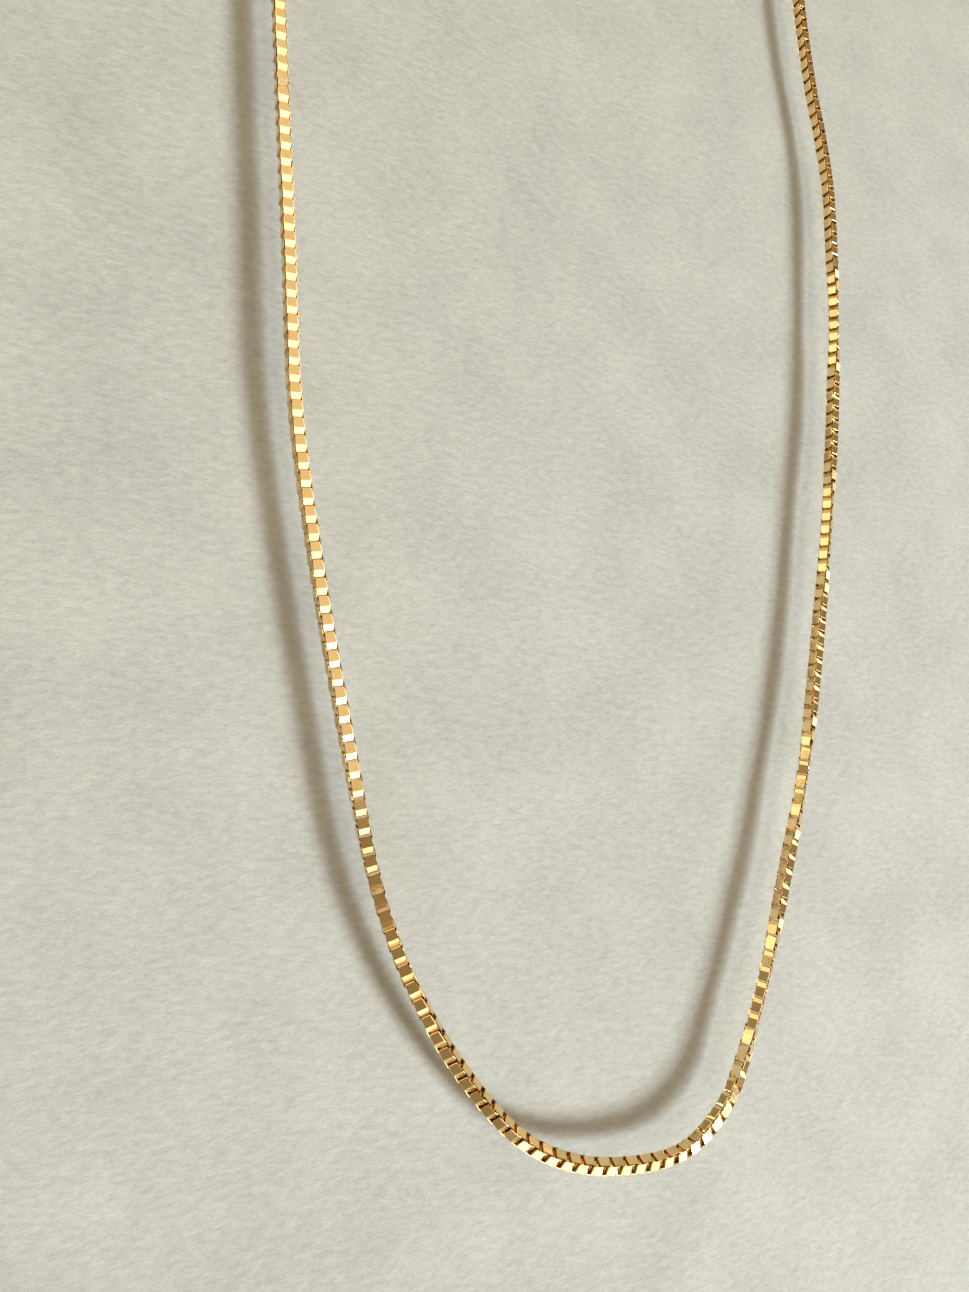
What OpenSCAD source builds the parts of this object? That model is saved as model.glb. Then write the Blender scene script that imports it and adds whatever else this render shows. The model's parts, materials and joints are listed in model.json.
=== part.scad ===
// Fine box chain necklace, unfastened and laid out flat in an open U.
// +Z is up, the surface it lies on is Z = 0, and the two ends point along +Y.

/* [Chain] */
// Outer size of one square link, along and across the chain
link_size = 1.0; // [0.95:0.01:1.0]
// Thickness of the flat strip that a link is bent from
strip_t = 0.10; // [0.08:0.01:0.10]
// Width of that strip
strip_w = 0.70; // [0.6:0.01:0.70]
// Reach of a link's rounded corners from its middle
corner_reach = 0.64; // [0.62:0.01:0.66]
// Free play between two links that pull on each other
play = 0.17; // [0.15:0.01:0.18]

/* [End rings] */
// Radius of the wire's centreline in a soldered end ring
end_ring_r = 0.9; // [0.85:0.01:0.92]
// Wire radius of the end rings
end_wire_r = 0.15; // [0.12:0.01:0.15]
// Lean of the end rings from the surface, in degrees
end_ring_lean = 50; // [45:1:55]

/* [Clasp] */
// Radius of the clasp's tube centreline
clasp_r = 2.6; // [2.5:0.05:2.8]
// Outer radius of the clasp's tube
tube_r = 0.65; // [0.6:0.01:0.7]
// Radius of the bore that the bolt slides in
bore_r = 0.4; // [0.38:0.01:0.42]
// Radius of the bent bolt
bolt_r = 0.34; // [0.3:0.01:0.34]
// Angle that the mouth of the clasp opens to, in degrees
mouth_angle = 55; // [50:1:55]
// Radius of the eyelet's centreline
eyelet_r = 0.85; // [0.8:0.01:0.9]
// Wire radius of the eyelet
eyelet_wire_r = 0.2; // [0.16:0.01:0.2]

/* [End tag] */
// Thickness of the end tag
tag_t = 0.4; // [0.3:0.05:0.5]
// Radius of the hole that the clasp hooks
catch_hole_r = 1.3; // [1.2:0.05:1.4]
// Radius of the hole that hangs on the end ring
hang_hole_r = 0.65; // [0.6:0.01:0.7]
// Width of metal left around the tag's large hole
tag_rim = 0.5; // [0.4:0.05:0.6]
// Width of metal left around its small hole
hang_rim = 0.35; // [0.3:0.05:0.4]
// Width of the neck between the two
neck_w = 1.0; // [0.8:0.1:1.2]

/* [Hidden] */
$fn = 48;

// Links: one in the middle, then a front half, then the runs of each arm
front_count = 28;
run_count = 28;
runs = 10;
last_link = front_count + runs * run_count;
pitch = link_size - 2 * strip_t - play;

// Centreline seen from above, from the left end, round the front, to the right end
route = [
    [-24, 104], [-24, 96], [-24, 88], [-24, 80], [-24, 73], [-25.6, 62], [-28.6, 50], [-30.4, 36],
    [-30, 20], [-28.4, 4], [-27.5, -10], [-27.1, -22], [-26.7, -34], [-26.3, -46], [-24.8, -58],
    [-22.8, -70], [-21.3, -78], [-19, -84.7], [-15.5, -91], [-11, -96.3], [-6, -99], [0, -100],
    [4, -99.4], [7.3, -97.1], [9.3, -94], [12.3, -87.8], [15.7, -79.4], [19, -70], [21.7, -60],
    [24.1, -49.5], [26.3, -39], [28, -27], [29, -15], [28.7, -8], [28, -2], [27.6, 8], [28, 22],
    [28.6, 36], [27.9, 50], [25.6, 62], [24, 73], [24, 80], [24, 88], [24, 96], [24, 104]
];
front_point = 21;

// Roll of the chain about its own length, by distance from the front, right side positive
roll_table = [
    [-196, end_ring_lean], [-182, 0], [-42, 0], [-33, 14], [-26, 22], [-19, 42], [-10, 42],
    [-4, 28], [1, 24], [6, 4], [9, 4], [15, 42], [19, 42], [25, 6], [29, 10], [33, 38], [37, 38],
    [42, 8], [50, 4], [56, 30], [61, 32], [66, 4], [73, 4], [79, 38], [82, 38], [88, 4], [120, 0],
    [182, 0], [196, end_ring_lean]
];

// Place of the route's front point, so that the origin is under the middle of the whole part
front_x = 0.72;
front_y = -95.31;
rise_links = 14;
ring_gap = 0.12;

// Middle heights of what lies at the two ends
end_ring_z = end_ring_r * sin(end_ring_lean) + end_wire_r;
clasp_z = tube_r;
tag_z = 0.7;

// Spacing along Y at the two ends, from the last link's middle
end_ring_step = link_size / 2 - strip_t - ring_gap - end_wire_r + end_ring_r;
eyelet_hang = 0.9;
tag_hang = 0.8;
eyelet_sink = 0.35;
eyelet_step = end_ring_step + eyelet_hang;
clasp_step = eyelet_step + eyelet_r + clasp_r + tube_r - eyelet_sink;
hang_hole_step = end_ring_step + tag_hang;
catch_hole_step = hang_hole_step + hang_hole_r + catch_hole_r + tag_rim;

// Angles around the clasp, from +X towards +Y
mouth_start = 20;
mouth_end = mouth_start + mouth_angle;
nose_depth = 5;
plug_start = 250;
plug_end = 290;
trigger_angle = mouth_end + 16;
bolt_start = mouth_start - nose_depth;
bolt_end = trigger_angle + 18;
travel = mouth_angle + nose_depth;

// Trigger and spring
trigger_r = 0.24;
slot_gap = 0.05;
knob_r = 0.42;
knob_h = 0.5;
knob_lift = 0.05;
spring_gap = 2.2;
spring_turns = 13;
spring_wire_r = 0.06;
spring_r = bolt_r - spring_wire_r;

gold = "goldenrod";

// --- The centreline, as a smooth curve measured by its own length ---

steps = 16;

function smooth(a, b, c, d, t) =
    0.5 * (2 * b + (c - a) * t + (2 * a - 5 * b + 4 * c - d) * t * t
           + (3 * b - a - 3 * c + d) * t * t * t);

path = [
    for (k = [1:len(route) - 3], n = [0:steps - 1])
        smooth(route[k - 1], route[k], route[k + 1], route[k + 2], n / steps)
];

function step_length(k) = k == 0 ? 0 : norm(path[k] - path[k - 1]);

length_at = [for (k = 0, s = 0; k < len(path); k = k + 1, s = s + step_length(min(k, len(path) - 1))) s];
front_length = length_at[(front_point - 1) * steps];

shift = [front_x, front_y] - route[front_point];
x_table = [for (k = [0:len(path) - 1]) [length_at[k] - front_length, path[k][0] + shift[0]]];
y_table = [for (k = [0:len(path) - 1]) [length_at[k] - front_length, path[k][1] + shift[1]]];

function route_x(s) = lookup(s, x_table);
function route_y(s) = lookup(s, y_table);

function heading(s) =
    atan2(route_y(s + pitch / 2) - route_y(s - pitch / 2),
          route_x(s + pitch / 2) - route_x(s - pitch / 2));

function roll(s) = lookup(s, roll_table);

// Height of the middle of a plus-shaped section that rests on the surface at this roll
function rest_height(angle) =
    max(link_size / 2 * abs(cos(angle)) + strip_w / 2 * abs(sin(angle)),
        strip_w / 2 * abs(cos(angle)) + link_size / 2 * abs(sin(angle)));

// The last links climb to the middle of the leaning end ring
end_rise = end_ring_z - rest_height(end_ring_lean);

function rise(i) = end_rise * max(0, 1 - (last_link - abs(i)) / rise_links);

function link_s(i) = i * pitch;
function link_z(i) = rest_height(roll(link_s(i))) + rise(i);

// Left end and right end: middle of the last link
function end_point(side) = [route_x(side * link_s(last_link)), route_y(side * link_s(last_link)), 0];

// --- Chain ---

module square_link() {
    rotate([90, 0, 0])
        linear_extrude(strip_w, center = true)
            difference() {
                intersection() {
                    square(link_size, center = true);
                    circle(corner_reach);
                }
                square(link_size - 2 * strip_t, center = true);
            }
}

// Every second link is turned a quarter about the chain
module chain_link(i) {
    s = link_s(i);
    translate([route_x(s), route_y(s), link_z(i)])
        rotate([0, 0, heading(s)])
            rotate([roll(s) + (i % 2 == 0 ? 0 : 90), 0, 0])
                square_link();
}

// A row of links from number a to number b, counted outwards on one side
module link_row(side, a, b) {
    for (i = [a:b])
        color(gold) chain_link(side * i);
}

function pivot_number(k) = front_count + (k - 1) * run_count + 1;

// --- Rings at the two ends ---

module ring(r, wire_r) {
    rotate_extrude()
        translate([r, 0])
            circle(wire_r, $fn = 24);
}

// A soldered ring through the last link, leaning on the surface
module end_ring(side) {
    color(gold)
        translate(end_point(side) + [0, end_ring_step, end_ring_z])
            rotate([0, side * end_ring_lean, 0])
                ring(end_ring_r, end_wire_r);
}

// --- Spring ring clasp, around its own middle ---

module at_clasp() {
    translate(end_point(-1) + [0, clasp_step, clasp_z])
        children();
}

module bent_rod(start, end, r) {
    rotate([0, 0, start])
        rotate_extrude(angle = end - start)
            translate([clasp_r, 0])
                circle(r, $fn = 32);
}

module tube(start, end) {
    rotate([0, 0, start])
        rotate_extrude(angle = end - start)
            translate([clasp_r, 0])
                difference() {
                    circle(tube_r, $fn = 40);
                    circle(bore_r, $fn = 32);
                }
}

// Slot in the outer wall that the trigger's stem runs along
module trigger_slot() {
    half = trigger_r + slot_gap;
    rotate([0, 0, trigger_angle])
        rotate_extrude(angle = travel)
            translate([clasp_r + bore_r / 2, -half])
                square([tube_r, 2 * half]);
    for (angle = [trigger_angle, trigger_angle + travel])
        rotate([0, 0, angle])
            translate([clasp_r + bore_r / 2, 0, 0])
                rotate([0, 90, 0])
                    cylinder(h = tube_r, r = half, $fn = 32);
}

module clasp_body() {
    color(gold)
        at_clasp() {
            difference() {
                union() {
                    tube(mouth_end, plug_start);
                    bent_rod(plug_start, plug_end, tube_r);
                    tube(plug_end, 360 + mouth_start);
                }
                trigger_slot();
            }
        }
}

// Soldered to the clasp's back; its wire stops at the tube's face
module clasp_eyelet() {
    color(gold)
        difference() {
            translate(end_point(-1) + [0, eyelet_step, clasp_z])
                ring(eyelet_r, eyelet_wire_r);
            at_clasp() bent_rod(180, 360, tube_r);
        }
}

module clasp_bolt() {
    color(gold)
        at_clasp()
            difference() {
                bent_rod(bolt_start, bolt_end, bolt_r);
                trigger_stem(trigger_r);
            }
}

module trigger_stem(r) {
    rotate([0, 0, trigger_angle])
        translate([clasp_r - bolt_r / 2, 0, 0])
            rotate([0, 90, 0])
                cylinder(h = tube_r + bolt_r / 2 + knob_lift + knob_h / 2, r = r, $fn = 32);
}

// Stem set in the bolt, with a thumb knob on its end
module clasp_trigger() {
    color(gold)
        at_clasp() {
            trigger_stem(trigger_r);
            rotate([0, 0, trigger_angle])
                translate([clasp_r + tube_r + knob_lift, 0, 0])
                    rotate([0, 90, 0])
                        cylinder(h = knob_h, r = knob_r, $fn = 32);
        }
}

// Coil spring bent along the bore, from the bolt's tail to the plug
module clasp_spring() {
    sides = 6;
    per_turn = 12;
    start = bolt_end + spring_gap;
    end = plug_start - spring_gap;
    last = spring_turns * per_turn;
    function coil_point(n) =
        let (a = start + (end - start) * n / last, b = 360 * n / per_turn,
             out = clasp_r + spring_r * cos(b))
        [out * cos(a), out * sin(a), spring_r * sin(b)];
    function wire_point(n, k) =
        let (a = start + (end - start) * n / last, b = 360 * n / per_turn, c = 360 * k / sides,
             radial = [cos(a) * cos(b), sin(a) * cos(b), sin(b)],
             along = [-sin(a), cos(a), 0])
        coil_point(n) + spring_wire_r * (cos(c) * radial + sin(c) * along);
    points = [for (n = [0:last], k = [0:sides - 1]) wire_point(n, k)];
    walls = [
        for (n = [0:last - 1], k = [0:sides - 1])
            let (a = n * sides + k, b = n * sides + (k + 1) % sides)
            [a, b, b + sides, a + sides]
    ];
    caps = [
        [for (k = [sides - 1:-1:0]) k],
        [for (k = [0:sides - 1]) last * sides + k]
    ];
    color("silver")
        at_clasp()
            polyhedron(points, concat(walls, caps), convexity = 6);
}

// --- End tag that the clasp hooks ---

module end_tag() {
    color(gold)
        translate(end_point(1) + [0, 0, tag_z - tag_t / 2])
            difference() {
                union() {
                    translate([0, hang_hole_step, 0])
                        cylinder(h = tag_t, r = hang_hole_r + hang_rim);
                    translate([0, catch_hole_step, 0])
                        cylinder(h = tag_t, r = catch_hole_r + tag_rim);
                    translate([-neck_w / 2, hang_hole_step + hang_hole_r, 0])
                        cube([neck_w, 2 * tag_rim, tag_t]);
                }
                translate([0, hang_hole_step, -tag_t])
                    cylinder(h = 3 * tag_t, r = hang_hole_r);
                translate([0, catch_hole_step, -tag_t])
                    cylinder(h = 3 * tag_t, r = catch_hole_r);
            }
}

// --- Assembly ---

color(gold) chain_link(0);  // centre_link
link_row(-1, 1, front_count);  // front_links_left
link_row(1, 1, front_count);  // front_links_right
for (k = [1:runs]) {
    first = pivot_number(k);
    link_row(-1, first, first);
    link_row(-1, first + 1, first + run_count - 1);
    link_row(1, first, first);
    link_row(1, first + 1, first + run_count - 1);
}
end_ring(-1);  // end_ring_left
end_ring(1);  // end_ring_right
clasp_body();
clasp_eyelet();
clasp_bolt();
clasp_trigger();
clasp_spring();
end_tag();
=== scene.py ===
import json
import math
import random

import bpy
import numpy as np
from mathutils import Matrix, Vector

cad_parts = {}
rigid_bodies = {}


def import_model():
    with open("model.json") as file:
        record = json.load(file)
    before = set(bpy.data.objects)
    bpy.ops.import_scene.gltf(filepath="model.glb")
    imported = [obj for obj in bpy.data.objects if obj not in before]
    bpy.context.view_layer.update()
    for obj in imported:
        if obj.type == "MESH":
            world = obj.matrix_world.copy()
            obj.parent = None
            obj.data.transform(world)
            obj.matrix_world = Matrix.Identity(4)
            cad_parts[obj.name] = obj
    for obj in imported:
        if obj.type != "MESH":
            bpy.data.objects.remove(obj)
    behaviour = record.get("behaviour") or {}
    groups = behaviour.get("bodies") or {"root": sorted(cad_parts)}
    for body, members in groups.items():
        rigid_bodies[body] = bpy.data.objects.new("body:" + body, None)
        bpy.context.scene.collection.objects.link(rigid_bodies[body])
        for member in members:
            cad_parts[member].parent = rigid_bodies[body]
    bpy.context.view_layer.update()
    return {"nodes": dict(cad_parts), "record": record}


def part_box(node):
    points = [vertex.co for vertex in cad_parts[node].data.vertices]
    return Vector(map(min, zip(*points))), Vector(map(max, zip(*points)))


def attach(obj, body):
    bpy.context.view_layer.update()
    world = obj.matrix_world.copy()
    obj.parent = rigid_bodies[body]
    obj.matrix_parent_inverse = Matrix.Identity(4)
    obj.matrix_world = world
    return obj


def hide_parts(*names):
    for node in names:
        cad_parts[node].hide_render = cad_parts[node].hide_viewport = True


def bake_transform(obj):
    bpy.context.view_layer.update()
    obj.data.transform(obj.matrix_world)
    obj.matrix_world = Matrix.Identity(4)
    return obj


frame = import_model()
nodes = frame["nodes"]
scene = bpy.context.scene

millimetre = 0.001
hair = 0.0001  # millimetres, smaller than any detail
cadWeld = 1e-7  # metres, closes up the copied mesh of a CAD node
facing = 0.9  # how nearly a face has to look along an axis


def deselectAll():
    for obj in bpy.context.view_layer.objects:
        obj.select_set(False)
    bpy.context.view_layer.objects.active = None


def pick(obj):
    deselectAll()
    obj.select_set(True)
    bpy.context.view_layer.objects.active = obj


def middleOf(node):
    low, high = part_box(node)
    return (Vector(low) + Vector(high)) / 2


# the camera's places are measured from the link at the front of the chain
frontLink = middleOf("centre_link")
cameraPlan = {
    "lens": 26,
    "stand": Vector((-0.0435, 0.0275, 0.0603)),
    "aim": Vector((-0.0123, 0.0379, 0.0)),
    "up": Vector((-0.0345, 0.9877, 0.1527)),
    "nearest": 0.001,
}


def addCamera(plan):
    back = (plan["stand"] - plan["aim"]).normalized()
    right = plan["up"].cross(back).normalized()
    up = back.cross(right)
    data = bpy.data.cameras.new("camera")
    data.lens = plan["lens"]
    data.clip_start = plan["nearest"]
    camera = bpy.data.objects.new("camera", data)
    turn = Matrix((right, up, back)).transposed().to_4x4()
    camera.matrix_world = Matrix.Translation(frontLink + plan["stand"]) @ turn
    scene.collection.objects.link(camera)
    scene.camera = camera


addCamera(cameraPlan)
print("camera placed")


class Shade:
    # one socket, so that maths can be written as sums

    def __init__(self, tree, socket):
        self.tree = tree
        self.socket = socket

    def node(self, kind, settings=None, inputs=None, output=0):
        # a new node: its settings first, then the values or links of its sockets
        made = self.tree.nodes.new(kind)
        for name, value in (settings or {}).items():
            if name == "stops":
                setStops(made.color_ramp, value)
            else:
                setattr(made, name, value)
        for name, value in (inputs or {}).items():
            if isinstance(value, Shade):
                self.tree.links.new(value.socket, made.inputs[name])
            else:
                made.inputs[name].default_value = value
        return Shade(self.tree, made.outputs[output])

    def maths(self, operation, other):
        return self.node("ShaderNodeMath", {"operation": operation}, {0: self, 1: other})

    def __add__(self, other):
        return self.maths("ADD", other)

    __radd__ = __add__

    def __mul__(self, other):
        return self.maths("MULTIPLY", other)

    __rmul__ = __mul__


def setStops(ramp, stops):
    while len(ramp.elements) > len(stops):
        ramp.elements.remove(ramp.elements[-1])
    while len(ramp.elements) < len(stops):
        ramp.elements.new(1.0)
    for element, (place, colour) in zip(ramp.elements, stops):
        element.position = place
        element.color = colour


def startMaterial(name):
    material = bpy.data.materials.new(name)
    material.use_nodes = True
    tree = material.node_tree
    shader = tree.nodes["Principled BSDF"]
    coordinates = tree.nodes.new("ShaderNodeTexCoord")
    place = Shade(tree, coordinates.outputs["Object"])
    return material, shader, place


def wire(shader, socket, shade):
    shade.tree.links.new(shade.socket, shader.inputs[socket])


# what all the polished metals share
metalGrain = {
    "driftScale": 420,
    "driftDetail": 3,
    "driftShare": 0.7,  # of the tone, the rest is each link's own
    "scratchScale": 6500,
    "scratchDetail": 4,
    "roughnessSwing": 0.10,
    "bump": 0.12,
}
goldLook = {
    "pale": (0.95, 0.735, 0.40, 1),
    "warm": (0.87, 0.61, 0.27, 1),
    "roughness": 0.13,
    "scratch": 0.00002,
}


def polishedMetal(name, look):
    material, shader, place = startMaterial(name)
    drift = place.node("ShaderNodeTexNoise", {}, {"Vector": place, "Scale": metalGrain["driftScale"],
                                                  "Detail": metalGrain["driftDetail"]})
    scratches = place.node("ShaderNodeTexNoise", {}, {"Vector": place, "Scale": metalGrain["scratchScale"],
                                                      "Detail": metalGrain["scratchDetail"]})
    each = place.node("ShaderNodeNewGeometry", output="Random Per Island")
    tone = drift * metalGrain["driftShare"] + each * (1 - metalGrain["driftShare"])
    colour = tone.node("ShaderNodeMix", {"data_type": "RGBA"},
                       {"Factor": tone, "A": look["pale"], "B": look["warm"]}, output="Result")
    wire(shader, "Base Color", colour)
    shader.inputs["Metallic"].default_value = 1
    swing = metalGrain["roughnessSwing"]
    wire(shader, "Roughness", scratches * swing + (look["roughness"] - swing / 2))
    bump = place.node("ShaderNodeBump", {}, {"Height": scratches, "Strength": metalGrain["bump"],
                                            "Distance": look["scratch"]})
    wire(shader, "Normal", bump)
    return material


chainGold = polishedMetal("chainGold", goldLook)
print("gold ready")

# one fine link, in millimetres
linkPlan = {
    "length": 1.18,
    "height": 0.97,
    "stripWidth": 0.79,
    "stripThickness": 0.06,
    "crease": 0.14,
    "dipAhead": 0.21,
    "dipBehind": 0.04,
    "corner": 0.03,
    "rim": 0.035,
    "rimDrop": 0.02,
    "belly": 1.04,
    "waist": 0.90,
    "smooth": math.radians(12),
    "lift": 0.03,
}


def selectFaces(obj, test):
    bpy.context.tool_settings.mesh_select_mode = (False, False, True)
    bpy.ops.object.mode_set(mode="EDIT")
    bpy.ops.mesh.select_all(action="DESELECT")
    bpy.ops.object.mode_set(mode="OBJECT")
    for face in obj.data.polygons:
        face.select = test(face)
    bpy.ops.object.mode_set(mode="EDIT")


def selectEdges(obj, test):
    bpy.context.tool_settings.mesh_select_mode = (False, True, False)
    bpy.ops.object.mode_set(mode="EDIT")
    bpy.ops.mesh.select_all(action="DESELECT")
    bpy.ops.object.mode_set(mode="OBJECT")
    for edge in obj.data.edges:
        edge.select = test([obj.data.vertices[i].co for i in edge.vertices])
    bpy.ops.object.mode_set(mode="EDIT")


def addModifier(obj, kind, **settings):
    pick(obj)
    modifier = obj.modifiers.new(kind.lower(), kind)
    for name, value in settings.items():
        setattr(modifier, name, value)
    bpy.ops.object.modifier_apply(modifier=modifier.name)


def makeLink(plan):
    # a strip bent square: the chain runs along X, the strip goes across Y, its long sides are creased
    long, half = plan["length"] / 2, plan["height"] / 2
    rim = plan["stripWidth"] / 2 - plan["rim"]
    deselectAll()
    bpy.ops.mesh.primitive_cube_add(size=1)
    link = bpy.context.object
    link.name = "fineLink"
    link.scale = (plan["length"], plan["stripWidth"], plan["height"])
    bpy.ops.object.transform_apply(scale=True)
    selectFaces(link, lambda face: abs(face.normal.y) > facing)
    bpy.ops.mesh.delete(type="FACE")
    bpy.ops.mesh.select_all(action="SELECT")
    bpy.ops.mesh.bisect(plane_co=(plan["crease"], 0, 0), plane_no=(1, 0, 0))
    bpy.ops.object.mode_set(mode="OBJECT")
    for vertex in link.data.vertices:
        if vertex.co.x > long - hair:
            vertex.co.z *= 1 - plan["dipAhead"] / half
        elif vertex.co.x < hair - long:
            vertex.co.z *= 1 - plan["dipBehind"] / half

    def isCorner(ends):
        atEnd = all(abs(point.x) > long - hair for point in ends)
        return atEnd and abs(ends[0].y - ends[1].y) > plan["stripWidth"] / 2

    selectEdges(link, isCorner)
    bpy.ops.mesh.bevel(offset=plan["corner"], segments=1, affect="EDGES")
    for side in (-rim, rim):
        bpy.ops.mesh.select_all(action="SELECT")
        bpy.ops.mesh.bisect(plane_co=(0, side, 0), plane_no=(0, 1, 0))
    bpy.ops.mesh.select_all(action="SELECT")
    bpy.ops.mesh.normals_make_consistent(inside=False)
    bpy.ops.object.mode_set(mode="OBJECT")
    for vertex in link.data.vertices:
        if abs(vertex.co.y) > rim + hair:
            vertex.co.x *= 1 - plan["rimDrop"] / half
            vertex.co.z *= 1 - plan["rimDrop"] / half
        if abs(vertex.co.x - plan["crease"]) < plan["rimDrop"]:
            vertex.co.y *= plan["belly"]
        elif abs(vertex.co.x) > long - 2 * plan["corner"]:
            vertex.co.y *= plan["waist"]
    addModifier(link, "SOLIDIFY", thickness=plan["stripThickness"], offset=-1, use_even_offset=True)
    bpy.ops.object.shade_smooth_by_angle(angle=plan["smooth"])
    return link


fineLink = makeLink(linkPlan)
print("fine link:", len(fineLink.data.polygons), "faces")

runCount = sum(1 for name in nodes if name.startswith("left_links_"))


def chainNodes():
    # in order, from the left end round the front to the right end
    order = []
    for k in range(runCount, 0, -1):
        order += [f"left_links_{k}", f"left_pivot_{k}"]
    order += ["front_links_left", "centre_link", "front_links_right"]
    for k in range(1, runCount + 1):
        order += [f"right_pivot_{k}", f"right_links_{k}"]
    return order


def separateLinks(node):
    # the corner points of each loose solid in a node
    copy = nodes[node].copy()
    copy.data = nodes[node].data.copy()
    scene.collection.objects.link(copy)
    pick(copy)
    bpy.ops.object.mode_set(mode="EDIT")
    bpy.ops.mesh.select_all(action="SELECT")
    bpy.ops.mesh.remove_doubles(threshold=cadWeld)
    bpy.ops.mesh.separate(type="LOOSE")
    bpy.ops.object.mode_set(mode="OBJECT")
    clouds = []
    for part in list(bpy.context.selected_objects):
        clouds.append(np.array([v.co for v in part.data.vertices]))
        bpy.data.objects.remove(part)
    return clouds


def findLinks():
    # a run starts at its pivot, or at the link at the front, and its links are put in order from there
    found = []
    for node in chainNodes():
        clouds = separateLinks(node)
        middles = [points.mean(axis=0) for points in clouds]
        anchor = np.array(frontLink if "front" in node else middleOf(node.replace("links", "pivot")))
        far = max(middles, key=lambda middle: np.linalg.norm(middle - anchor))
        along = far - anchor if "right" in node else anchor - far
        for rank in np.argsort([middle @ along for middle in middles]):
            found.append({"node": node, "points": clouds[rank], "middle": middles[rank]})
    return found


links = findLinks()
print("links found:", len(links))

# how far a link lies from true, as a chain laid down by hand does
wobblePlan = {
    "seed": 7,
    "roll": math.radians(1.2),
    "pitch": math.radians(0.8),
}


def linkPlaces(links, plan):
    # a matrix for each link, from its solid and its neighbours
    chance = random.Random(plan["seed"])
    middles = [link["middle"] for link in links]
    for n, link in enumerate(links):
        before = middles[max(n - 1, 0)]
        after = middles[min(n + 1, len(links) - 1)]
        spread = link["points"] - link["middle"]
        across = Vector(np.linalg.eigh(spread.T @ spread)[1][:, 0])  # the solid's shortest way
        along = Vector(after - before)
        along = (along - along.dot(across) * across).normalized()
        upward = along.cross(across)
        turn = Matrix((along, across, upward)).transposed().to_4x4()
        shake = (Matrix.Rotation(chance.gauss(0, plan["roll"]), 4, "X")
                 @ Matrix.Rotation(chance.gauss(0, plan["pitch"]), 4, "Y"))
        seat = Vector(link["middle"]) + Vector((0, 0, linkPlan["lift"] * millimetre))
        link["place"] = Matrix.Translation(seat) @ turn @ shake @ Matrix.Scale(millimetre, 4)


linkPlaces(links, wobblePlan)


def finishLook(piece, node, material):
    piece.data.materials.clear()
    piece.data.materials.append(material)
    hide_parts(node)


def dress(piece, node, material):
    piece.name = "gold_" + node
    bodies = frame["record"]["behaviour"]["bodies"]
    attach(piece, next(body for body, members in bodies.items() if node in members))
    finishLook(piece, node, material)


def buildChain():
    groups = {}
    for link in links:
        copy = fineLink.copy()
        copy.data = fineLink.data.copy()
        copy.data.transform(link["place"])
        scene.collection.objects.link(copy)
        groups.setdefault(link["node"], []).append(copy)
    bpy.context.view_layer.update()
    for node, copies in groups.items():
        pick(copies[0])
        for copy in copies:
            copy.select_set(True)
        if len(copies) > 1:
            bpy.ops.object.join()
        dress(bpy.context.object, node, chainGold)


buildChain()
bpy.data.objects.remove(fineLink)
print("chain built")

# end fittings: each is shaped in millimetres and then put in its place
claspLook = {
    "pale": (0.97, 0.71, 0.35, 1),
    "warm": (0.92, 0.62, 0.25, 1),
    "roughness": 0.12,
    "scratch": 0.00001,
}
steelLook = {
    "pale": (0.74, 0.73, 0.70, 1),
    "warm": (0.62, 0.60, 0.56, 1),
    "roughness": 0.22,
    "scratch": 0.00001,
}
claspGold = polishedMetal("claspGold", claspLook)
springSteel = polishedMetal("springSteel", steelLook)

edgeFinish = {
    "bevelFrom": math.radians(50),  # edges sharper than this are rounded
    "smoothTo": math.radians(40),
    "spinWeld": 0.001,  # millimetres, joins the first and the last step of a full turn
}


def turned(degrees, axis="Z"):
    return Matrix.Rotation(math.radians(degrees), 4, axis)


def spinWire(section, radius, start, end, step, sides):
    # a round wire bent round Z
    deselectAll()
    bpy.ops.mesh.primitive_circle_add(vertices=sides, radius=section, location=(radius, 0, 0),
                                      rotation=(math.pi / 2, 0, 0))
    bpy.ops.object.transform_apply(location=True, rotation=True)
    return spinProfile(bpy.context.object, start, end, step)


def spinProfile(outline, start, end, step):
    # an outline spun round Z, its ends left open unless it closes on itself
    bpy.ops.object.mode_set(mode="EDIT")
    bpy.ops.mesh.select_all(action="SELECT")
    bpy.ops.mesh.spin(steps=round((end - start) / step), angle=math.radians(end - start),
                      center=(0, 0, 0), axis=(0, 0, 1))
    bpy.ops.mesh.select_all(action="SELECT")
    bpy.ops.mesh.remove_doubles(threshold=edgeFinish["spinWeld"])
    bpy.ops.mesh.normals_make_consistent(inside=False)
    bpy.ops.object.mode_set(mode="OBJECT")
    # with no window the spin can run backwards, and is then turned back from its far end
    angles = [math.degrees(math.atan2(v.co.y, v.co.x)) for v in outline.data.vertices]
    forwards = any(abs(angle - step) < step / 10 for angle in angles)
    outline.data.transform(turned(start if forwards else end))
    return outline


def closeEnds(obj):
    pick(obj)
    bpy.context.tool_settings.mesh_select_mode = (False, True, False)
    bpy.ops.object.mode_set(mode="EDIT")
    bpy.ops.mesh.select_all(action="SELECT")
    bpy.ops.mesh.fill_holes(sides=0)
    bpy.ops.mesh.select_all(action="SELECT")
    bpy.ops.mesh.normals_make_consistent(inside=False)
    bpy.ops.object.mode_set(mode="OBJECT")


def softenEdges(obj, width, segments):
    addModifier(obj, "BEVEL", width=width, segments=segments, limit_method="ANGLE",
                angle_limit=edgeFinish["bevelFrom"])
    bpy.ops.object.shade_smooth_by_angle(angle=edgeFinish["smoothTo"])


def joinPieces(pieces):
    bpy.context.view_layer.update()
    pick(pieces[0])
    for piece in pieces:
        piece.select_set(True)
    bpy.ops.object.join()
    return bpy.context.object


def place(obj, middle, turn=None):
    obj.data.transform(Matrix.Translation(middle) @ (turn or Matrix()) @ Matrix.Scale(millimetre, 4))


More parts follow.
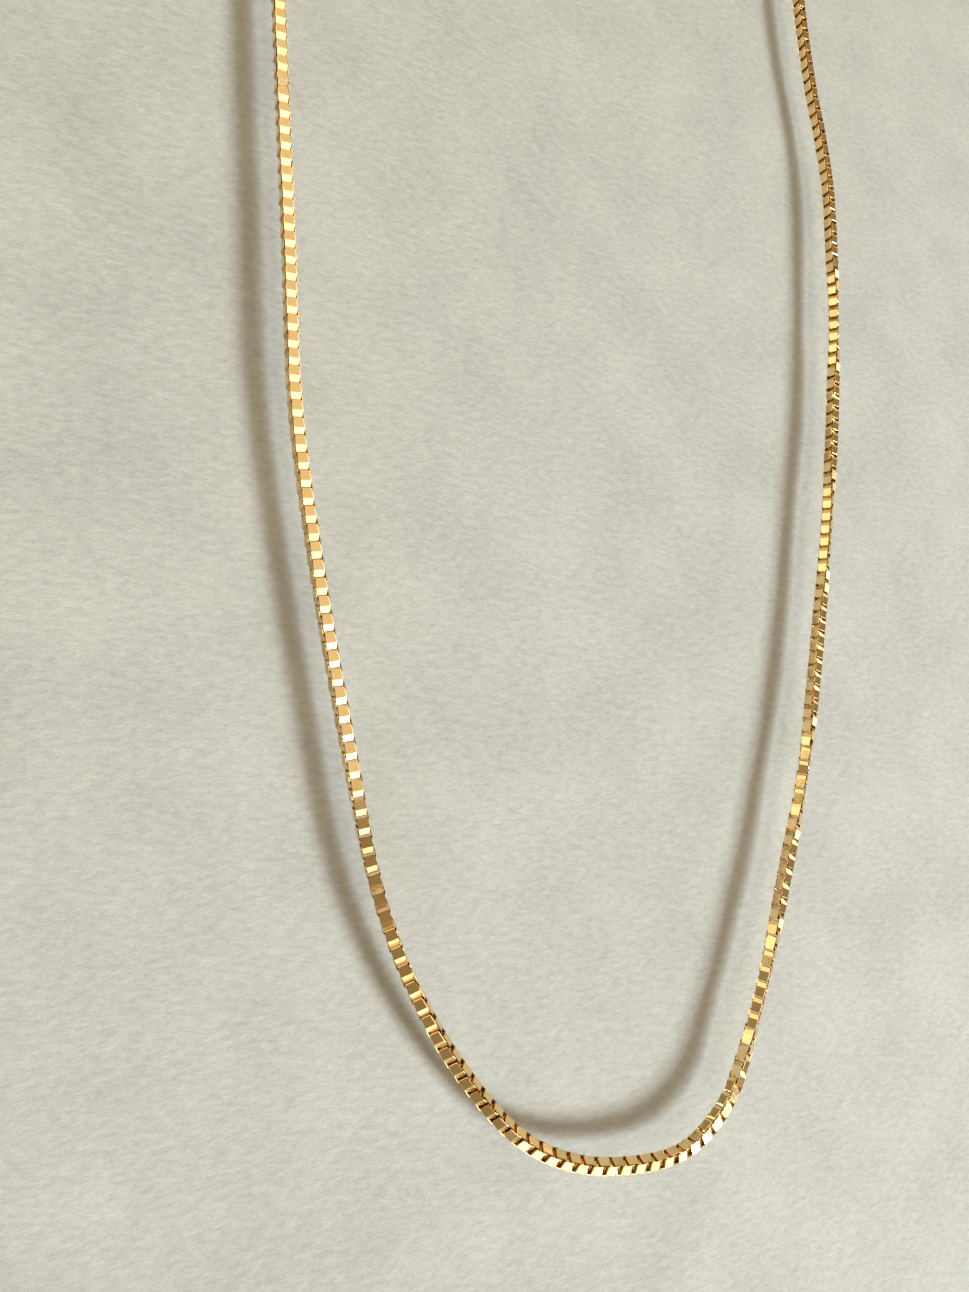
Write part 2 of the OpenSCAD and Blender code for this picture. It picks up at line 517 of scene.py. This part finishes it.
# the soldered rings at the two ends of the chain
endRingPlan = {
    "radius": 0.9,
    "wire": 0.15,
    "lean": 50,
    "seam": 1.07,
    "seamAt": -45,
    "seamWidth": 9,
    "step": 6,
    "sides": 16,
}


def makeEndRing(side, node, plan):
    ring = spinWire(plan["wire"], plan["radius"], 0, 360, plan["step"], plan["sides"])
    for vertex in ring.data.vertices:
        around = math.atan2(vertex.co.y, vertex.co.x)
        core = Vector((math.cos(around), math.sin(around), 0)) * plan["radius"]
        off = (math.degrees(around) - plan["seamAt"]) / plan["seamWidth"]
        vertex.co = core + (vertex.co - core) * (1 + (plan["seam"] - 1) * math.exp(-off * off))
    pick(ring)
    bpy.ops.object.shade_smooth()
    place(ring, middleOf(node), turned(side * plan["lean"], "Y"))
    dress(ring, node, claspGold)


makeEndRing(-1, "end_ring_left", endRingPlan)
makeEndRing(1, "end_ring_right", endRingPlan)
print("end rings made")

# the tube of the spring ring clasp; angles in degrees round its middle, from +X towards +Y
claspPlan = {
    "radius": 2.6,
    "tube": 0.65,
    "wall": 0.25,
    "tubeStart": 75,
    "tubeEnd": 380,
    "slotStart": 85,
    "slotEnd": 157.5,
    "slotHalf": 0.28,
    "plugStart": 250,
    "plugEnd": 290,
    "edge": 0.035,
    "edgeSegments": 2,
    "plugSegments": 1,
    "step": 2.5,
    "plugStep": 5,
    "sides": 28,
}


def cornerPlace(node, reach):
    # the middle of a round piece, from the low corner of its box and how far it reaches that way
    low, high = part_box(node)
    return Vector((low[0] + reach * millimetre, low[1] + reach * millimetre, (low[2] + high[2]) / 2))


claspMiddle = cornerPlace("clasp_body", claspPlan["radius"] + claspPlan["tube"])


def makeClaspBody(plan):
    tube = spinWire(plan["tube"], plan["radius"], plan["tubeStart"], plan["tubeEnd"],
                    plan["step"], plan["sides"])
    pick(tube)

    def inSlot(face):
        middle = face.center
        around = math.degrees(math.atan2(middle.y, middle.x))
        outside = math.hypot(middle.x, middle.y) > plan["radius"]
        return outside and abs(middle.z) < plan["slotHalf"] and plan["slotStart"] < around < plan["slotEnd"]

    selectFaces(tube, inSlot)
    bpy.ops.mesh.delete(type="FACE")
    bpy.ops.object.mode_set(mode="OBJECT")
    addModifier(tube, "SOLIDIFY", thickness=plan["wall"], offset=-1, use_even_offset=True)
    softenEdges(tube, plan["edge"], plan["edgeSegments"])
    plug = spinWire(plan["tube"] - plan["wall"], plan["radius"], plan["plugStart"], plan["plugEnd"],
                    plan["plugStep"], plan["sides"])
    closeEnds(plug)
    softenEdges(plug, plan["edge"], plan["plugSegments"])
    body = joinPieces([tube, plug])
    place(body, claspMiddle)
    dress(body, "clasp_body", claspGold)


eyeletPlan = {"radius": 0.85, "wire": 0.2, "step": 6, "sides": 18}


def makeEyelet(plan):
    eyelet = spinWire(plan["wire"], plan["radius"], 0, 360, plan["step"], plan["sides"])
    pick(eyelet)
    bpy.ops.object.shade_smooth()
    place(eyelet, cornerPlace("clasp_eyelet", plan["radius"] + plan["wire"]))
    dress(eyelet, "clasp_eyelet", claspGold)


boltPlan = {
    "radius": claspPlan["radius"],
    "wire": 0.34,
    "start": 15,
    "end": 109,
    "edge": 0.09,
    "edgeSegments": 3,
    "step": 2.5,
    "sides": 24,
}


def makeBolt(plan):
    bolt = spinWire(plan["wire"], plan["radius"], plan["start"], plan["end"], plan["step"], plan["sides"])
    closeEnds(bolt)
    softenEdges(bolt, plan["edge"], plan["edgeSegments"])
    place(bolt, claspMiddle)
    dress(bolt, "clasp_bolt", claspGold)


# a stem set in the bolt with a thumb knob on it; the feet are measured from the clasp's middle
triggerPlan = {
    "turn": 91,
    "stem": 0.24,
    "stemFoot": 2.43,
    "knob": 0.42,
    "knobFoot": 3.30,
    "knobHeight": 0.5,
    "edge": 0.11,
    "edgeSegments": 4,
    "sides": 32,
}


def makeTrigger(plan):
    deselectAll()
    stemLength = plan["knobFoot"] - plan["stemFoot"]
    bpy.ops.mesh.primitive_cylinder_add(vertices=plan["sides"], radius=plan["stem"], depth=stemLength,
                                        location=(plan["stemFoot"] + stemLength / 2, 0, 0),
                                        rotation=(0, math.pi / 2, 0))
    bpy.ops.object.transform_apply(location=True, rotation=True)
    trigger = bpy.context.object
    wide = plan["knob"] / plan["stem"]
    selectFaces(trigger, lambda face: face.normal.x > facing)
    bpy.ops.mesh.extrude_region_move(TRANSFORM_OT_translate={"value": (0, 0, 0)})
    bpy.ops.transform.resize(value=(1, wide, wide))
    bpy.ops.mesh.extrude_region_move(TRANSFORM_OT_translate={"value": (plan["knobHeight"], 0, 0)})
    bpy.ops.object.mode_set(mode="OBJECT")
    softenEdges(trigger, plan["edge"], plan["edgeSegments"])
    place(trigger, claspMiddle, turned(plan["turn"]))
    dress(trigger, "clasp_trigger", claspGold)


springPlan = {
    "radius": claspPlan["radius"],
    "start": 111.2,
    "end": 247.8,
    "smooth": math.radians(70),
}


def makeSpring(plan):
    # a copy of the coil from model.glb, its loose points welded and its faces smooth shaded
    coil = nodes["clasp_spring"]
    spring = bpy.data.objects.new("coil_spring", coil.data.copy())
    scene.collection.objects.link(spring)
    pick(spring)
    bpy.ops.object.mode_set(mode="EDIT")
    bpy.ops.mesh.select_all(action="SELECT")
    bpy.ops.mesh.remove_doubles(threshold=cadWeld)
    bpy.ops.object.mode_set(mode="OBJECT")
    bpy.ops.object.shade_smooth_by_angle(angle=plan["smooth"])
    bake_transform(spring)
    finishLook(spring, "clasp_spring", springSteel)


makeClaspBody(claspPlan)
makeEyelet(eyeletPlan)
makeBolt(boltPlan)
makeTrigger(triggerPlan)
makeSpring(springPlan)
print("clasp made")

# the flat tag that the clasp hooks: two washers and a neck between them
tagPlan = {
    "thickness": 0.4,
    "hangHole": 0.65,
    "hangRim": 0.35,
    "catchHole": 1.3,
    "catchRim": 0.5,
    "neck": 1.0,
    "drop": 0.02,  # each part is this much thinner than the last, so that no two faces share a plane
    "edge": 0.08,
    "edgeSegments": 3,
    "step": 4,
}


def makeWasher(hole, rim, thickness, plan):
    deselectAll()
    bpy.ops.mesh.primitive_plane_add(size=1, location=(hole + rim / 2, 0, 0), rotation=(math.pi / 2, 0, 0))
    washer = bpy.context.object
    washer.scale = (rim, thickness, 1)
    bpy.ops.object.transform_apply(location=True, rotation=True, scale=True)
    selectFaces(washer, lambda face: True)
    bpy.ops.mesh.bevel(offset=plan["edge"], segments=plan["edgeSegments"], affect="VERTICES")
    bpy.ops.mesh.delete(type="ONLY_FACE")
    bpy.ops.object.mode_set(mode="OBJECT")
    spinProfile(washer, 0, 360, plan["step"])
    return washer


def makeNeck(thickness, plan):
    deselectAll()
    bpy.ops.mesh.primitive_cube_add(size=1, location=(0, plan["hangHole"] + plan["catchRim"] / 2, 0))
    neck = bpy.context.object
    neck.scale = (plan["neck"], plan["catchRim"] - plan["edge"], thickness)
    bpy.ops.object.transform_apply(location=True, scale=True)
    softenEdges(neck, plan["edge"], plan["edgeSegments"])
    return neck


def makeTag(plan):
    hangerThickness = plan["thickness"] - plan["drop"]
    catch = makeWasher(plan["catchHole"], plan["catchRim"], plan["thickness"], plan)
    catchAt = plan["hangHole"] + plan["catchHole"] + plan["catchRim"]
    catch.data.transform(Matrix.Translation((0, catchAt, 0)))
    hanger = makeWasher(plan["hangHole"], plan["hangRim"], hangerThickness, plan)
    for washer in (catch, hanger):
        pick(washer)
        bpy.ops.object.shade_smooth_by_angle(angle=edgeFinish["smoothTo"])
    neck = makeNeck(hangerThickness - plan["drop"], plan)
    tag = joinPieces([catch, hanger, neck])
    low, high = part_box("end_tag")
    reach = (plan["hangHole"] + plan["hangRim"]) * millimetre
    place(tag, Vector(((low[0] + high[0]) / 2, low[1] + reach, (low[2] + high[2]) / 2)))
    dress(tag, "end_tag", claspGold)


makeTag(tagPlan)
print("tag made")

floorLook = {
    "side": 3.0,
    "below": 0.0016,
    "pale": (0.475, 0.463, 0.405, 1),
    "paleFrom": 0.66,
    "grey": (0.33, 0.322, 0.28, 1),
    "greyTo": 0.34,
    "fibreTurn": (0, 0, math.radians(25)),
    "fibreStretch": (0.45, 1, 1),
    "fibreScale": 2300,
    "fibreDetail": 5,
    "fibreRoughness": 0.8,
    "fibreShare": 0.72,
    "fibreHeight": 0.0001,
    "bump": 0.5,
    "blotchScale": 120,
    "blotchDetail": 3,
    "roughness": 0.9,
    "shine": 0.2,
}


def paperMaterial(look):
    material, shader, place = startMaterial("paperSurface")
    along = place.node("ShaderNodeMapping", {}, {"Vector": place, "Rotation": look["fibreTurn"],
                                                 "Scale": look["fibreStretch"]})
    fibre = along.node("ShaderNodeTexNoise", {}, {"Vector": along, "Scale": look["fibreScale"],
                                                  "Detail": look["fibreDetail"],
                                                  "Roughness": look["fibreRoughness"]})
    blotch = place.node("ShaderNodeTexNoise", {}, {"Vector": place, "Scale": look["blotchScale"],
                                                   "Detail": look["blotchDetail"]})
    mixed = fibre * look["fibreShare"] + blotch * (1 - look["fibreShare"])
    stops = [(look["greyTo"], look["grey"]), (look["paleFrom"], look["pale"])]
    wire(shader, "Base Color", mixed.node("ShaderNodeValToRGB", {"stops": stops}, {"Fac": mixed}))
    shader.inputs["Roughness"].default_value = look["roughness"]
    shader.inputs["Specular IOR Level"].default_value = look["shine"]
    bump = place.node("ShaderNodeBump", {}, {"Height": fibre, "Strength": look["bump"],
                                            "Distance": look["fibreHeight"]})
    wire(shader, "Normal", bump)
    return material


def addFloor(look):
    deselectAll()
    bpy.ops.mesh.primitive_plane_add(size=look["side"], location=(0, 0, -look["below"]))
    floor = bpy.context.object
    floor.name = "floor"
    floor.data.materials.append(paperMaterial(look))


addFloor(floorLook)

lightCentre = Vector((0, -0.03, 0))
# each softbox: which way it lies from there, its width and height at one metre, and how bright it is
lightPlan = {
    "key": {"toward": (0.562, -0.647, 0.515), "across": (1, 1, 0), "size": (0.20, 0.20), "glow": 150,
            "tint": (0.79, 0.89, 1.0)},
    "overhead": {"toward": (0.28, -0.50, 0.82), "across": (1, 0, 0), "size": (0.46, 0.96), "glow": 2.1,
                 "tint": (1, 0.96, 0.88)},
    "ceiling": {"toward": (0.22, 0.48, 0.85), "across": (1, 0, 0), "size": (0.55, 0.97), "glow": 0.62,
                "tint": (1, 0.90, 0.74)},
    "front": {"toward": (0.34, -0.92, 0.18), "across": (1, 0.37, 0), "size": (1.3, 0.32), "glow": 2.4,
              "tint": (1, 0.95, 0.86)},
    "window": {"toward": (0.966, 0.205, 0.12), "across": (0, 1, 0), "size": (1.3, 0.26), "glow": 2.4,
               "tint": (1, 0.96, 0.88)},
    "wall": {"toward": (-0.640, 0.711, 0.292), "across": (0.74, 0.67, 0), "size": (1.5, 0.60), "glow": 1.25,
             "tint": (1, 0.91, 0.70)},
}


def addLight(name, plan):
    toward = Vector(plan["toward"]).normalized()
    across = Vector(plan["across"])
    across = (across - across.dot(toward) * toward).normalized()
    data = bpy.data.lights.new(name, "AREA")
    data.shape = "RECTANGLE"
    data.size, data.size_y = plan["size"]
    data.energy = math.pi * plan["size"][0] * plan["size"][1] * plan["glow"]
    data.color = plan["tint"]
    light = bpy.data.objects.new(name, data)
    turn = Matrix((across, toward.cross(across), toward)).transposed().to_4x4()
    light.matrix_world = Matrix.Translation(lightCentre + toward) @ turn
    scene.collection.objects.link(light)


for name, plan in lightPlan.items():
    addLight(name, plan)

studioColour = (0.31, 0.235, 0.14, 1)
world = bpy.data.worlds.new("studio")
world.use_nodes = True
world.node_tree.nodes["Background"].inputs["Color"].default_value = studioColour
scene.world = world
scene.view_settings.view_transform = "Standard"
print("floor and lights placed")
